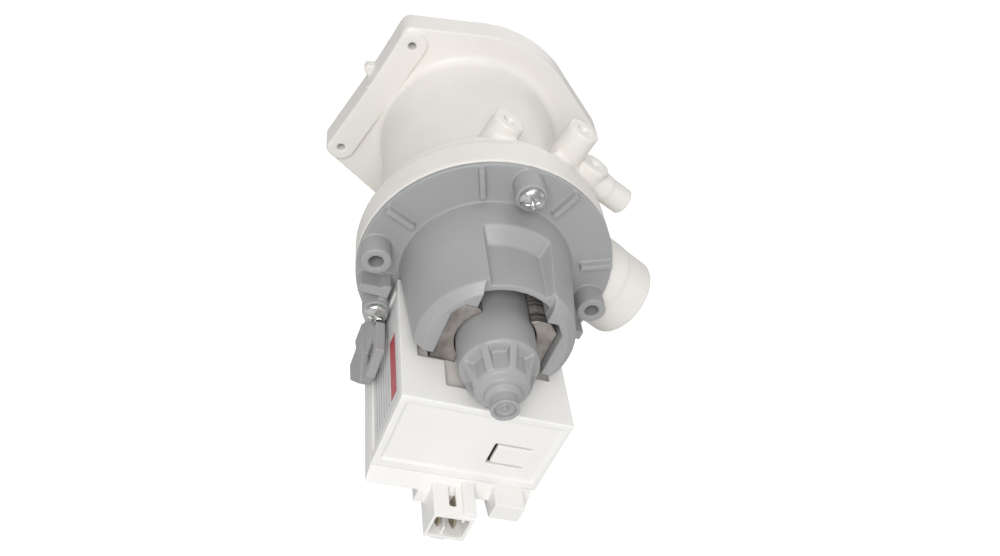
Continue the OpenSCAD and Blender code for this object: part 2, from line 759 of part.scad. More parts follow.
module motor_casing() {
    color(grey) laid() at_seam() difference() {
        union() {
            cylinder(r = flange_r - rim_gap, h = flange_t, $fn = 96);
            translate([0, 0, rim_gap]) cylinder(r = flange_r, h = flange_t - rim_gap, $fn = 96);
            ring(spigot_r, holder_r + recess_wall, -spigot_len, eps);
            for (a = rib_angles) rotate(a)
                block([rib_start, -rib_t / 2, 0], [flange_r - 0.5, rib_t / 2, flange_rib_h]);
            for (a = open_angles) rotate(a) translate([bolt_circle_r, 0, 0]) cylinder(r = boss_r, h = boss_h);
            for (a = screw_angles) rotate(a) translate([bolt_circle_r, 0, 0])
                cylinder(r = a == 90 ? boss_r : screw_boss_r, h = screw_boss_h);
            difference() {
                cover_body();
                cover_cavity();
                cover_groove();
            }
            translate([0, 0, -spigot_len]) cylinder(r = holder_r + recess_wall, h = holder_len + recess_wall);
            cylinder(r = can_r, h = can_end);
            can_tail();
            for (s = [0, 1]) mirror([s, 0, 0]) {
                latch();
                latch_bracket();
            }
        }
        // Bore of the rotor can, bearing recess and rear bearing seat
        translate([0, 0, -spigot_len - 1]) cylinder(r = holder_r, h = holder_len + 1);
        cylinder(r = can_bore_r, h = cup_start);
        cylinder(r = cup_r + touch, h = cup_bore_end);
        // Groove of the casing seal
        ring(spigot_r + 1, spigot_r - 1.7, -spigot_len + 0.5, -0.5);
        // Screw holes
        for (a = open_angles) rotate(a) translate([bolt_circle_r, 0, -1]) cylinder(r = boss_hole_r, h = boss_h + 2);
        for (a = screw_angles) rotate(a) translate([bolt_circle_r, 0, -1])
            cylinder(r = shank_r + 0.15, h = screw_boss_h + 2);
        // Cup in the end of the neck
        translate([0, 0, can_end + tail_len + neck_len - 1.5]) ring(neck_r - 0.9, 0.8, 0, 2);
        translate([0, 0, can_end + tail_len + neck_len - 0.5]) cylinder(r = neck_r - 0.9, h = 1);
    }
}

module casing_seal() {
    color("black") laid() at_seam()
        sealing_ring(spigot_r - 1.7 + casing_seal_r + touch, casing_seal_r, -spigot_len / 2);
}

module casing_screws() {
    color("silver") laid() at_seam() for (a = screw_angles) rotate(a)
        translate([bolt_circle_r, 0, screw_boss_h]) difference() {
            union() {
                translate([0, 0, -shank_len]) cylinder(r = shank_r, h = shank_len + eps);
                rotate_extrude($fn = 48) polygon([[0, 0], [head_r, 0], [head_r, head_h * 0.45],
                    [head_r * 0.9, head_h * 0.75], [head_r * 0.65, head_h * 0.95], [0, head_h]]);
            }
            for (t = [45, 135]) rotate(t)
                block([-head_r * 0.6, -0.45, head_h - 1.3], [head_r * 0.6, 0.45, head_h + 1]);
        }
}

module impeller() {
    color("gray") laid() difference() {
        union() {
            translate([0, 0, hub_front]) cylinder(r = hub_r, h = disc_back - hub_front);
            translate([0, 0, disc_front]) cylinder(r = impeller_r, h = impeller_disc_t);
            for (i = [0:blade_count - 1]) rotate(i * 360 / blade_count)
                block([hub_r - 0.6, -blade_t / 2, disc_front - blade_h],
                    [impeller_r, blade_t / 2, disc_front + eps]);
        }
        difference() {
            translate([0, 0, hub_front + hub_wall]) cylinder(r = hub_bore_r, h = disc_back - hub_front);
            sector(dog_hub_r + 0.3, hub_bore_r + 1, 180, lug_half, hub_front, disc_back - impeller_cap_t - 0.2);
        }
        translate([0, 0, hub_front + 1.2]) cylinder(r = shaft_r + running_gap, h = hub_wall);
    }
}

module impeller_cap() {
    color("darkgray") laid()
        ring(hub_bore_r - 0.02, shaft_r + running_gap, disc_back - impeller_cap_t, disc_back);
}

module drive_dog() {
    color("dimgray") laid() {
        ring(dog_hub_r, shaft_r, dog_front, dog_back);
        sector(dog_hub_r - 0.2, dog_r, 0, lug_half, dog_front, dog_back);
    }
}

module coupling_damper() {
    shift = lug_half + pad_width / 2;
    color("black") laid() for (s = [-1, 1])
        sector(dog_hub_r + touch, dog_r, s * shift, pad_width / 2 - 0.2, dog_front + 0.2, dog_back - 0.2);
}

module rotor_shaft() {
    shaft_front = hub_front + 1.5;
    shaft_back = seam + can_end + rear_bush_len - 0.4;
    color("silver") laid() translate([0, 0, shaft_front]) cylinder(r = shaft_r, h = shaft_back - shaft_front);
}

module rotor_magnet() {
    color("darkslategray") laid() at_seam() ring(magnet_r, magnet_bore_r, magnet_start, magnet_end);
}

// Moulded sleeve that holds the magnet on the shaft.
module rotor_sleeve() {
    color("ivory") laid() at_seam() difference() {
        union() {
            translate([0, 0, magnet_start - end_ring_t]) cylinder(r = magnet_bore_r, h = magnet_len + 2 * end_ring_t);
            ring(magnet_r, shaft_r, magnet_start - end_ring_t, magnet_start);
            ring(magnet_r, shaft_r, magnet_end, magnet_end + end_ring_t);
            translate([0, 0, magnet_end]) cylinder(r = shaft_r + 1.6, h = can_end - magnet_end - 1.4);
        }
        cylinder(r = shaft_r, h = can_end);
    }
}

module thrust_washers() {
    color("tan") laid() at_seam() {
        ring(shaft_r + 2.6, shaft_r, holder_end + 0.4, magnet_start - end_ring_t);
        ring(shaft_r + 2.6, shaft_r, can_end - 1.4, can_end - 0.4);
    }
}

module bearing_holder() {
    color("whitesmoke") laid() at_seam() difference() {
        translate([0, 0, -spigot_len]) cylinder(r = holder_r - touch, h = holder_len);
        translate([0, 0, -spigot_len - 1]) cylinder(r = shaft_seal_r, h = seal_len + 1);
        translate([0, 0, -spigot_len + seal_len + 0.6]) cylinder(r = front_bush_r, h = holder_len);
        translate([0, 0, -spigot_len]) cylinder(r = shaft_r + 1, h = holder_len);
        ring(holder_r + 1, holder_r - 2 * holder_seal_r, 2 - holder_seal_r - 0.1, 2 + holder_seal_r + 0.1);
    }
}

module front_bush() {
    color("ivory") laid() at_seam()
        ring(front_bush_r - touch / 2, shaft_r + running_gap, -spigot_len + seal_len + 0.65, holder_end);
}

// Lip seal round the shaft, with a hollow behind the lip.
module shaft_seal() {
    color("black") laid() at_seam() translate([0, 0, -spigot_len]) rotate_extrude()
        polygon([[shaft_r + running_gap, 0.4], [shaft_r + running_gap, 1.4], [shaft_r + 1.2, 2.2],
            [shaft_r + 1.2, seal_len], [shaft_seal_r - touch / 2, seal_len], [shaft_seal_r - touch / 2, 0.2],
            [shaft_r + 2.6, 0.2], [shaft_r + 2.6, 1.8], [shaft_r + 1.6, 1.8]]);
}

module holder_seal() {
    color("black") laid() at_seam() sealing_ring(holder_r - holder_seal_r, holder_seal_r - touch / 2, 2);
}

module rear_bush() {
    color("ivory") laid() at_seam()
        ring(rear_bush_r, shaft_r + running_gap, can_end - 0.3, can_end - 0.3 + rear_bush_len);
}

module rear_bush_cup() {
    cup_back = can_end - 0.3 + rear_bush_len;
    color("black") laid() at_seam() {
        ring(cup_r, rear_bush_r, cup_start, cup_back + eps);
        ring(cup_r, shaft_r + 0.6, cup_back, cup_bore_end);
    }
}

// U-shaped stack of laminations with two pole heads round the rotor can.
module stator_core() {
    tip = 7;
    right = [[stack_half, -yoke_drop], [stack_half, pole_top - pole_chamfer],
        [stack_half - pole_chamfer, pole_top], [tip + 2.5, pole_top], [tip, pole_top - 1.5],
        [tip, 0], [leg_in, -head_foot], [leg_in, yoke_h - yoke_drop]];
    left = [for (i = [len(right) - 1:-1:0]) [-right[i][0], right[i][1]]];
    color([0.66, 0.63, 0.60]) laid() at_seam() translate([0, 0, stack_start]) linear_extrude(stack_len)
        difference() {
            polygon(concat(right, left));
            circle(r = pole_r);
        }
}

// Room round the bearing recess of the casing.
module bearing_room() {
    cylinder(r = holder_r + recess_wall + 0.3, h = holder_end + recess_wall + 0.3);
}

// Former round one leg: tube and two cheeks, cut clear of the rotor can.
module coil_former(side) {
    in = leg_in - former_gap;
    out = stack_half + former_gap;
    front = stack_start - former_gap;
    rear = stack_end + former_gap;
    cheek_over = 0.1;
    apron = 5.8;
    color("linen") laid() at_seam() mirror([side, 0, 0]) difference() {
        union() {
            block([in - former_wall, -coil_bottom - cheek_t, front - former_wall],
                [out + former_wall, -coil_top + cheek_t, rear + former_wall]);
            block([coil_in - cheek_over, -coil_bottom - cheek_t, coil_front - cheek_over],
                [coil_out + cheek_over, -coil_bottom, coil_rear + cheek_over]);
            block([coil_in - cheek_over, -coil_top, coil_front - cheek_over],
                [coil_out + cheek_over, cheek_t - coil_top, coil_rear + apron]);
        }
        block([in, -yoke_drop, front], [out, 0, rear]);
        translate([0, 0, -1]) cylinder(r = pole_r, h = box_rear);
        bearing_room();
    }
}

module left_coil_former() {
    coil_former(1);
}

module right_coil_former() {
    coil_former(0);
}

// Outline of the winding round one leg, seen from above.
module coil_outline(grow, corner) {
    x0 = leg_in - leg_skin - grow;
    x1 = stack_half + leg_skin + grow;
    z0 = stack_start - leg_skin - grow;
    z1 = stack_end + leg_skin + grow;
    translate([x0 + corner, z0]) square([x1 - x0 - 2 * corner, z1 - z0]);
    translate([x0, z0 + corner]) square([x1 - x0, z1 - z0 - 2 * corner]);
    for (x = [x0 + corner, x1 - corner], z = [z0 + corner, z1 - corner])
        translate([x, z]) circle(r = corner, $fn = 32);
}

module coil(side) {
    color([0.72, 0.40, 0.22]) laid() at_seam() mirror([side, 0, 0]) difference() {
        translate([0, -coil_top - touch, 0]) rotate([90, 0, 0])
            linear_extrude(coil_bottom - coil_top - 2 * touch) difference() {
                coil_outline(coil_build, 4);
                coil_outline(touch, 0.1);
            }
        bearing_room();
    }
}

module left_coil() {
    coil(1);
}

module right_coil() {
    coil(0);
}

// Small cutout in its can, held between the two windings.
module thermal_cutout() {
    half = coil_in - touch;
    color("khaki") laid() at_seam() block([-half, -34, 19], [half, -20, 28]);
}

module coil_cover() {
    inner = box_half - box_wall;
    tongue_cut = box_rear - box_wall - recess - 1;
    color(box_white) laid() at_seam() difference() {
        block([-box_half, -box_split, box_front], [box_half, -box_top, box_rear]);
        block([-inner, -box_split - 1, box_front + box_wall], [inner, -box_top - box_wall, box_rear - box_wall - recess]);
        // Openings in the top for the poles and for the rotor can
        block([-slot_half, -box_top - box_wall - 1, box_front + 2], [slot_half, -box_top + 1, slot_end]);
        block([-notch_left, -box_top - box_wall - 1, box_front + 2], [notch_right, -box_top + 1, notch_end]);
        bearing_room();
        // Slot for the lowest rib of the can's tail
        block([-tail_rib_t / 2 - 0.4, -box_top - box_wall - 0.5, notch_end - 1],
            [tail_rib_t / 2 + 0.4, -box_top + 1, can_end + tail_len - 2.3]);
        // Sunk panels in the rear face and in the side that takes the label
        block([-box_half + tray_rim, -box_split + 3.4, box_rear - recess],
            [box_half - tray_rim, -box_top - 2.6, box_rear + 1]);
        block([-box_half - 1, -box_split + 2.2, box_front + 3], [-box_half + recess, -box_top - 2.6, box_rear - 3]);
        // Slits that free the tongue
        block([tongue[0], tongue_rows[1], tongue_cut], [tongue[0] + 1.2, tongue_rows[0], box_rear + 1]);
        for (u = tongue_rows)
            block([tongue[0], u - slit_w / 2, tongue_cut], [tongue[1], u + slit_w / 2, box_rear + 1]);
    }
}

// Base of the coil box with the connector shroud.
module coil_base() {
    inner = box_half - box_wall;
    shroud_x = plug_w / 2;
    plug_end = plug_start + plug_len;
    plug_bottom = plug_top - plug_h;
    color(box_white) laid() at_seam() {
        difference() {
            union() {
                side_plate(-box_half, 2 * box_half - 1) polygon([[-box_split, box_front],
                    [-box_split, box_rear], [-box_bottom, plug_start], [-box_bottom, box_front]]);
                block([-root_half - 2, plug_bottom + 2, box_rear - 9], [root_half, -box_bottom + eps, plug_start + eps]);
                block([-shroud_x, plug_bottom, plug_start - 4], [shroud_x, plug_top, plug_end]);
                block([plug_x - 3.8, plug_bottom - 1.6, plug_start + 1], [plug_x + 0.9, plug_bottom + eps, plug_end - 0.6]);
                // Raised corner of the shroud
                block([2.6, plug_top - 1, box_rear + 0.4], [shroud_x, plug_top + 1.8, plug_end - 0.4]);
                // Stop block beside the shroud
                side_plate(13, 10) polygon([[-box_split - 0.2, box_rear], [-box_split - 0.2, box_rear + 7.6],
                    [-box_split - 7, box_rear + 7.6], [-box_bottom - 2.6, box_rear]]);
            }
            block([-inner, -box_bottom + 1.05, box_front + box_wall], [inner - 1, -box_split + 1, box_rear - box_wall]);
            // Mouth of the connector and the slot above the blades
            block([-shroud_x + plug_wall, plug_bottom + plug_wall, plug_start + 1.2],
                [shroud_x - plug_wall, plug_top - plug_wall, plug_end + 1]);
            block([-1.3, plug_top - plug_wall - 1, plug_start - 0.9], [0.9, plug_top + 1, plug_start + 6.8]);
            for (x = tab_x) block([x - tab_t / 2, tab_mid - tab_w / 2, blade_root],
                [x + tab_t / 2, tab_mid + tab_w / 2, plug_end]);
        }
        // Rib between the blades and keying rib beside them
        block([tab_x[0] + 2.1, plug_bottom + plug_wall - eps, plug_start + 1], [tab_x[0] + 2.9, plug_bottom + 4, plug_end - 1.2]);
        block([3, plug_top - plug_wall - 2, plug_start + 1], [4.1, plug_top - plug_wall + eps, plug_end - 0.6]);
    }
}

// Two pointed tabs, edge up, held in the base.
module terminals() {
    root = blade_root;
    tip = plug_start + plug_len - 0.7;
    taper = tip - 4;
    nose = tab_w * 0.15;
    color([0.62, 0.57, 0.48]) laid() at_seam() for (x = tab_x)
        side_plate(x - tab_t / 2, tab_t) polygon([[tab_mid - tab_w / 2, root], [tab_mid + tab_w / 2, root],
            [tab_mid + tab_w / 2, taper], [tab_mid + nose, tip], [tab_mid - nose, tip],
            [tab_mid - tab_w / 2, taper]]);
}

module rating_label() {
    color("white") laid() at_seam()
        block([-box_half + recess - label_t, -box_split + 3, box_front + 4],
            [-box_half + recess, -box_top - 3.2, box_rear - 4]);
}

pump_housing();
filter_cap();
filter_basket();
filter_seal();
motor_casing();
casing_seal();
casing_screws();
impeller();
impeller_cap();
drive_dog();
coupling_damper();
rotor_shaft();
rotor_magnet();
rotor_sleeve();
thrust_washers();
bearing_holder();
front_bush();
shaft_seal();
holder_seal();
rear_bush();
rear_bush_cup();
stator_core();
left_coil_former();
right_coil_former();
left_coil();
right_coil();
thermal_cutout();
coil_cover();
coil_base();
terminals();
rating_label();
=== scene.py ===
# A washer's drain pump, seen from the motor end: white filter chamber and volute,
# grey motor casing, and the white coil box with its plug hanging below.
import json
import math

import bmesh
import bpy
from mathutils import Matrix, Vector

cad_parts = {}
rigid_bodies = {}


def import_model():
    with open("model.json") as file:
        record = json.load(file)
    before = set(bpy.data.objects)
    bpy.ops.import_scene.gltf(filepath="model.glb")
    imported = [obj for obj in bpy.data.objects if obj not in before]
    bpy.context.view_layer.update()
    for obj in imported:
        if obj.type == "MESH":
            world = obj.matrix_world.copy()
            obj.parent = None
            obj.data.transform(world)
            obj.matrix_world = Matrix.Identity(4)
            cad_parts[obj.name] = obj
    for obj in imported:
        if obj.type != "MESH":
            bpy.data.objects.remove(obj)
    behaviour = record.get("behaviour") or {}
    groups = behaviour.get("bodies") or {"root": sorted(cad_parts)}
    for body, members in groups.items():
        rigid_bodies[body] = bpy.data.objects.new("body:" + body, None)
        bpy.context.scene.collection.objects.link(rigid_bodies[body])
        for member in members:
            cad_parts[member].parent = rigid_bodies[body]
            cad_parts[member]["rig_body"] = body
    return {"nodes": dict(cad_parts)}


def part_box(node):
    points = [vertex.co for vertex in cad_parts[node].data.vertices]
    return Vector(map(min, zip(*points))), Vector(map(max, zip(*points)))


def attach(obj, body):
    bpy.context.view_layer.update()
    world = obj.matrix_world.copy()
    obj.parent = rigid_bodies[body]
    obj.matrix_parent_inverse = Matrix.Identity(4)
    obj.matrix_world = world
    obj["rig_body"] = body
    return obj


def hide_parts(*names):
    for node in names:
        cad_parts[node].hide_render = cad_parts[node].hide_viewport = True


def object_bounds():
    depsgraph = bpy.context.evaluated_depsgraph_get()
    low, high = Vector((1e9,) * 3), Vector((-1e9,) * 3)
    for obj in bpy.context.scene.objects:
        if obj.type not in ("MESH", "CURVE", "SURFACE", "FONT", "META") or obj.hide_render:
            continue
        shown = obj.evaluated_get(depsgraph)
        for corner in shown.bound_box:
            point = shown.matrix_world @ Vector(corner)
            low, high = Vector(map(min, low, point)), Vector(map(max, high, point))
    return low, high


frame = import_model()
cad_low, cad_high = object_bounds()

# Pump housing
# One white polypropylene moulding: front plate, filter chamber, volute ring, ports
# and stub bosses. Its skin is satin, a little translucent and faintly uneven.
HOUSING_WHITE = (0.80, 0.775, 0.735, 1)


def node_group(name, inputs, outputs):
    """An empty shader group with its sockets; inputs is {name: default value}."""
    group = bpy.data.node_groups.new(name, "ShaderNodeTree")
    for label, value in inputs.items():
        kind = "NodeSocketColor" if isinstance(value, tuple) else "NodeSocketFloat"
        socket = group.interface.new_socket(label, in_out="INPUT", socket_type=kind)
        socket.default_value = value
    for label, kind in outputs.items():
        group.interface.new_socket(label, in_out="OUTPUT", socket_type="NodeSocket" + kind)
    return group, group.nodes.new("NodeGroupInput"), group.nodes.new("NodeGroupOutput")


def add(tree, kind, links=(), **values):
    """A shader node; links is [(socket or value, input name or number)]."""
    node = tree.nodes.new("ShaderNode" + kind)
    for key, value in values.items():
        setattr(node, key, value)
    for source, target in links:
        if isinstance(source, bpy.types.NodeSocket):
            tree.links.new(source, node.inputs[target])
        else:
            node.inputs[target].default_value = source
    return node


def maths(tree, operation, *terms):
    """The result of one Math node; each term is a socket or a number."""
    links = [(term, place) for place, term in enumerate(terms)]
    return add(tree, "Math", links, operation=operation).outputs[0]


def stretch(tree, value, low, high, to_low=0.0, to_high=1.0):
    """The value carried from one range to another, held at both ends."""
    source = [(value, "Value"), (low, "From Min"), (high, "From Max")]
    return add(tree, "MapRange", source + [(to_low, "To Min"), (to_high, "To Max")]).outputs[0]


def noise(tree, place, scale, detail, roughness=0.5):
    """A noise pattern; its scale counts the waves in a metre."""
    links = [(place, "Vector"), (scale, "Scale"), (detail, "Detail"), (roughness, "Roughness")]
    return add(tree, "TexNoise", links).outputs["Fac"]


def moulded_skin_group():
    """Slow tint clouds, small scuffs and the fine grain of an injection mould."""
    group, given, out = node_group(
        "moulded_skin",
        {
            "Colour": (0.8, 0.8, 0.8, 1),
            "Clouds": 0.05,
            "Roughness": 0.45,
            "Scuffs": 0.08,
            "Grain scale": 1400.0,
        },
        {"Colour": "Color", "Roughness": "Float", "Height": "Float"},
    )
    place = add(group, "TexCoord").outputs["Object"]
    cloud = stretch(group, noise(group, place, 38.0, 3.0), 0.3, 0.7, -1.0)
    bright = maths(group, "MULTIPLY_ADD", cloud, given.outputs["Clouds"], 1.0)
    tint = add(group, "HueSaturation", [(given.outputs["Colour"], "Color"), (bright, "Value")])
    scuff = stretch(group, noise(group, place, 260.0, 5.0, 0.65), 0.35, 0.75, -0.5, 0.8)
    rub = maths(group, "MULTIPLY_ADD", scuff, given.outputs["Scuffs"], given.outputs["Roughness"])
    grain = noise(group, place, given.outputs["Grain scale"], 2.0)
    height = maths(group, "MULTIPLY_ADD", noise(group, place, 90.0, 1.0), 3.0, grain)
    group.links.new(tint.outputs[0], out.inputs["Colour"])
    group.links.new(rub, out.inputs["Roughness"])
    group.links.new(height, out.inputs["Height"])
    return group


MOULDED_SKIN = moulded_skin_group()


def new_material(name, **settings):
    """A material, its tree and its Principled shader with plain values set."""
    material = bpy.data.materials.new(name)
    material.use_nodes = True
    shader = material.node_tree.nodes["Principled BSDF"]
    for label, value in settings.items():
        shader.inputs[label.replace("_", " ")].default_value = value
    return material, material.node_tree, shader


def surface(tree, shader, colour, roughness, height, strength, rise):
    """Colour and roughness led into the shader, with bumps up to the rise in metres."""
    bump = add(tree, "Bump", [(height, "Height"), (strength, "Strength"), (rise, "Distance")])
    tree.links.new(colour, shader.inputs["Base Color"])
    tree.links.new(roughness, shader.inputs["Roughness"])
    tree.links.new(bump.outputs[0], shader.inputs["Normal"])


def moulded_plastic(name, colour, roughness, clouds, grain=1400.0, inner_glow=0.0):
    """A moulded plastic; the grain counts its waves in a metre, as noise does."""
    material, tree, shader = new_material(name, Subsurface_Weight=inner_glow)
    shader.inputs["Subsurface Radius"].default_value = (0.002, 0.0018, 0.0015)
    values = [
        (colour, "Colour"),
        (roughness, "Roughness"),
        (clouds, "Clouds"),
        (grain, "Grain scale"),
    ]
    colour, roughness, height = add(tree, "Group", values, node_tree=MOULDED_SKIN).outputs
    surface(tree, shader, colour, roughness, height, strength=0.5, rise=0.00002)
    return material


def new_object(name, data):
    """An object in the scene for a mesh, a lamp or a camera."""
    thing = bpy.data.objects.new(name, data)
    bpy.context.scene.collection.objects.link(thing)
    return thing


def finish_piece(piece, node):
    """The piece stands for a CAD node, whose part it hides, and rides its body."""
    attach(piece, frame["nodes"][node]["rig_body"])
    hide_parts(node)


def evaluated(piece):
    """The piece's mesh with its modifiers worked in."""
    graph = bpy.context.evaluated_depsgraph_get()
    shaped = bpy.data.meshes.new_from_object(piece.evaluated_get(graph), depsgraph=graph)
    old = piece.data
    piece.modifiers.clear()
    piece.data = shaped
    bpy.data.meshes.remove(old)
    return shaped


def moulded(node, name, material, voxel, rounding=4, keep=0.3):
    """The node's shape with edges and inner corners rounded as a mould leaves them. It
    is meshed in voxels, smoothed in rounding passes, and keeps a share of its faces."""
    piece = new_object(name, frame["nodes"][node].data.copy())
    skin = piece.modifiers.new("skin", "REMESH")
    skin.mode = "VOXEL"
    skin.voxel_size = voxel
    soften = piece.modifiers.new("soften", "SMOOTH")
    soften.factor = 0.5
    soften.iterations = rounding
    thin_out = piece.modifiers.new("thin_out", "DECIMATE")
    thin_out.ratio = keep
    mesh = evaluated(piece)
    mesh.name = name
    mesh.materials.clear()
    mesh.materials.append(material)
    mesh.polygons.foreach_set("material_index", [0] * len(mesh.polygons))
    mesh.shade_smooth()
    finish_piece(piece, node)


housing_white = moulded_plastic("housing_white", HOUSING_WHITE, 0.42, 0.03, inner_glow=0.15)
moulded(
    "pump_housing", "housing_moulding", housing_white,
    voxel=0.0005, rounding=5, keep=0.28,
)

# Marks of the housing's mould
# Two inserts of the mould meet in a fine raised line across the ear bar, and one
# ejector pin leaves a shallow disc on the plate. Both are part of the white moulding.
EAR_BAR_FACE = 0.0126
PLATE_FACE = 0.011
MARK_RISE = 0.00013
MARK_ROOT = 0.0003
LINE_FROM = (-0.0429, 0.0106)
LINE_TO = (-0.0312, 0.0071)
LINE_HALF = 0.00022
LINE_CREST = LINE_HALF * 0.3
PIN_AT = (0.0321, 0.0215)
PIN_RADIUS = 0.0024
PIN_RIM = PIN_RADIUS * 0.94

mark_shell = bmesh.new()
along = (Vector(LINE_TO) - Vector(LINE_FROM)).normalized()
across = Vector((-along[1], along[0]))
# The line's section as offset and rise: from its sunk root over its crest and down
section = (
    (LINE_HALF, -MARK_ROOT),
    (LINE_CREST, MARK_RISE),
    (-LINE_CREST, MARK_RISE),
    (-LINE_HALF, -MARK_ROOT),
)
ends = []
for x, z in (LINE_FROM, LINE_TO):
    end = [
        (x + across[0] * offset, -EAR_BAR_FACE - rise, z + across[1] * offset)
        for offset, rise in section
    ]
    ends.append([mark_shell.verts.new(point) for point in end])
for i in range(4):
    k = (i + 1) % 4
    mark_shell.faces.new((ends[0][i], ends[0][k], ends[1][k], ends[1][i]))
mark_shell.faces.new(ends[0])
mark_shell.faces.new(list(reversed(ends[1])))
pin_middle = Matrix.Translation((PIN_AT[0], -PLATE_FACE - MARK_RISE + MARK_ROOT, PIN_AT[1]))
bmesh.ops.create_cone(
    mark_shell,
    cap_ends=True,
    segments=48,
    radius1=PIN_RADIUS,
    radius2=PIN_RIM,
    depth=2 * MARK_ROOT,
    matrix=pin_middle @ Matrix.Rotation(math.radians(90), 4, "X"),
)
bmesh.ops.recalc_face_normals(mark_shell, faces=mark_shell.faces)
mark_mesh = bpy.data.meshes.new("mould_marks")
mark_shell.to_mesh(mark_mesh)
mark_shell.free()
mark_mesh.materials.append(housing_white)
mould_marks = new_object("mould_marks", mark_mesh)
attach(mould_marks, frame["nodes"]["pump_housing"]["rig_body"])

# Filter cap
# A dark grey glass-filled moulding with a sunk dish and a grip bar across it; it
# turns a quarter on the basket's front disc and seals the chamber's mouth.
cap_grey = moulded_plastic("cap_grey", (0.10, 0.105, 0.11, 1), 0.4, 0.05)
moulded("filter_cap", "filter_cap_moulding", cap_grey, voxel=0.0005)

# Lint basket
# The slotted tub that catches buttons and lint, in white polypropylene. It hangs on
# the cap's pivot and slides out with it.
basket_white = moulded_plastic("basket_white", (0.72, 0.715, 0.69, 1), 0.4, 0.03, inner_glow=0.1)
moulded("filter_basket", "filter_basket_moulding", basket_white, voxel=0.0005)


# Rubber rings and pads
# Black nitrile rubber: the cap's ring, the casing's ring, the bearing holder's ring,
# the shaft's lip seal, the cup of the rear bush and the pads in the coupling.
def dress(node, material):
    """The CAD node keeps its shape and gets a finish of its own."""
    mesh = frame["nodes"][node].data
    mesh.materials.clear()
    mesh.materials.append(material)


seal_rubber = moulded_plastic("seal_rubber", (0.014, 0.014, 0.015, 1), 0.6, 0.2, grain=2400.0)
for rubber in (
    "filter_seal",
    "casing_seal",
    "holder_seal",
    "shaft_seal",
    "rear_bush_cup",
    "coupling_damper",
):
    dress(rubber, seal_rubber)

# Impeller
# Six straight blades on a disc, moulded in dark grey glass-filled polypropylene. Its
# hub is closed behind by a welded cap.
impeller_grey = moulded_plastic("impeller_grey", (0.09, 0.095, 0.10, 1), 0.38, 0.05)
moulded("impeller", "impeller_moulding", impeller_grey, voxel=0.0004)
moulded(
    "impeller_cap", "impeller_cap_moulding", impeller_grey,
    voxel=0.0002, rounding=3,
)

# Drive dog
# The lug on the shaft's end that kicks the impeller round, in tough acetal with a
# waxy shine.
dog_plastic = moulded_plastic("dog_plastic", (0.62, 0.60, 0.52, 1), 0.3, 0.05, inner_glow=0.1)
moulded("drive_dog", "drive_dog_moulding", dog_plastic, voxel=0.0002, rounding=3)


# Rotor shaft
# A ground stainless pin with fine marks of the grinding wheel round it, pressed
# through magnet, sleeve and dog.
GRINDING_PITCH = 0.0001


def ground_steel():
    """Bare steel with grinding marks that follow one another along the pump's axis."""
    material, tree, shader = new_material("shaft_steel", Metallic=1.0)
    place = add(tree, "TexCoord").outputs["Object"]
    depth = add(tree, "SeparateXYZ", [(place, "Vector")]).outputs["Y"]
    ring = maths(tree, "DIVIDE", depth, GRINDING_PITCH)
    marks = add(tree, "TexNoise", [(ring, "W"), (1.0, "Scale")], noise_dimensions="1D")
    marks = marks.outputs["Fac"]
    bright = stretch(tree, noise(tree, place, 900.0, 3.0), 0.4, 0.7, 0.75, 1.0)
    tone = add(tree, "HueSaturation", [((0.72, 0.72, 0.71, 1), "Color"), (bright, "Value")])
    rough = stretch(tree, marks, 0.3, 0.7, 0.14, 0.3)
    surface(tree, shader, tone.outputs[0], rough, marks, strength=0.3, rise=0.000004)
    return material


dress("rotor_shaft", ground_steel())


# Rotor magnet
# A sintered ferrite sleeve, dark grey and matt, ground on its outside and with tiny
# pits where grains have broken out.
def mottle_group():
    """Two tones and two degrees of gloss that follow one pattern."""
    group, given, out = node_group(
        "mottle",
        {
            "Pattern": 0.5,
            "Dark at": 0.0,
            "Light at": 1.0,
            "Dark": (0.1, 0.1, 0.1, 1),
            "Light": (0.5, 0.5, 0.5, 1),
            "Smooth": 0.3,
            "Dull": 0.5,
        },
        {"Colour": "Color", "Roughness": "Float"},
    )
    pattern = given.outputs["Pattern"]
    share = stretch(group, pattern, given.outputs["Dark at"], given.outputs["Light at"])
    tones = [(share, "Factor"), (given.outputs["Dark"], "A"), (given.outputs["Light"], "B")]
    tone = add(group, "Mix", tones, data_type="RGBA")
    rough = stretch(group, pattern, 0.3, 0.7, given.outputs["Smooth"], given.outputs["Dull"])
    group.links.new(tone.outputs["Result"], out.inputs["Colour"])
    group.links.new(rough, out.inputs["Roughness"])
    return group


MOTTLE = mottle_group()


def mottled(tree, pattern, tones, gloss, spread=(0.0, 1.0)):
    """Colour and roughness by a pattern: the tones lie at both ends of its spread."""
    values = [
        (pattern, "Pattern"),
        (spread[0], "Dark at"),
        (spread[1], "Light at"),
        (tones[0], "Dark"),
        (tones[1], "Light"),
        (gloss[0], "Smooth"),
        (gloss[1], "Dull"),
    ]
    return add(tree, "Group", values, node_tree=MOTTLE).outputs


def sintered_ferrite():
    """Dark ferrite in faint clouds, with pits."""
    material, tree, shader = new_material("ferrite", Metallic=0.3)
    place = add(tree, "TexCoord").outputs["Object"]
    grit = add(tree, "TexVoronoi", [(place, "Vector"), (1600.0, "Scale")]).outputs["Distance"]
    cloud = noise(tree, place, 300.0, 4.0)
    tones = ((0.028, 0.028, 0.031, 1), (0.075, 0.075, 0.08, 1))
    tone, rough = mottled(tree, cloud, tones, (0.45, 0.7))
    surface(tree, shader, tone, rough, stretch(tree, grit, 0.05, 0.25), strength=0.5, rise=0.00003)
    return material


dress("rotor_magnet", sintered_ferrite())

